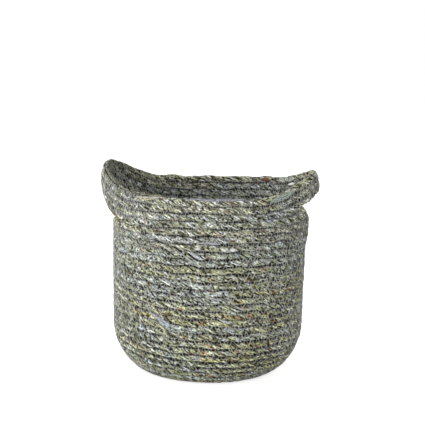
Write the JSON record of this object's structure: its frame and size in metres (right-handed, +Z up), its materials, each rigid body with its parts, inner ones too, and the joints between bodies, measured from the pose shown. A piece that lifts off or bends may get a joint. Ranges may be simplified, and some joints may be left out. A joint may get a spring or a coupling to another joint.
{
  "type": "basket planter",
  "caption": "Round coiled-rope basket planter with an open top, rounded heel and flat base, and side handles that the rim's own rows make by leaving the wall.",
  "frame": {"origin": "on the floor, under the middle of the basket", "axes": "+Z up, +X to the right handle, -Y to the front as pictured"},
  "size_m": [0.2274, 0.2008, 0.2166],
  "materials": {
    "rope": "matte twisted dried-grass rope in grey-green and straw, sewn row to row with mauve-grey thread"
  },
  "bodies": {
    "basket": {"base_coil": "rope", "heel_coil": "rope", "wall_coil": "rope", "shoulder_row_1": "rope", "front_rim_row_1": "rope", "front_rim_row_2": "rope", "front_rim_row_3": "rope", "back_rim_row_1": "rope", "back_rim_row_2": "rope", "back_rim_row_3": "rope", "rope_end": "rope"},
    "left_handle": {"left_handle_row_1": "rope", "left_handle_row_2": "rope", "left_handle_row_3": "rope", "left_handle_row_4": "rope", "left_handle_row_5": "rope"},
    "right_handle": {"right_handle_row_1": "rope", "right_handle_row_2": "rope", "right_handle_row_3": "rope"}
  },
  "joints": [
    {"name": "left_handle_flex", "type": "hinge", "parent": "basket", "child": "left_handle", "pos_m": [-0.0614, 0, 0.1756], "axis": [0, 1, 0], "range_deg": [-6, 20], "stiffness_Nm_per_rad": 0.6},
    {"name": "right_handle_flex", "type": "hinge", "parent": "basket", "child": "right_handle", "pos_m": [0.0575, 0, 0.183], "axis": [0, -1, 0], "range_deg": [-6, 20], "stiffness_Nm_per_rad": 0.6}
  ]
}
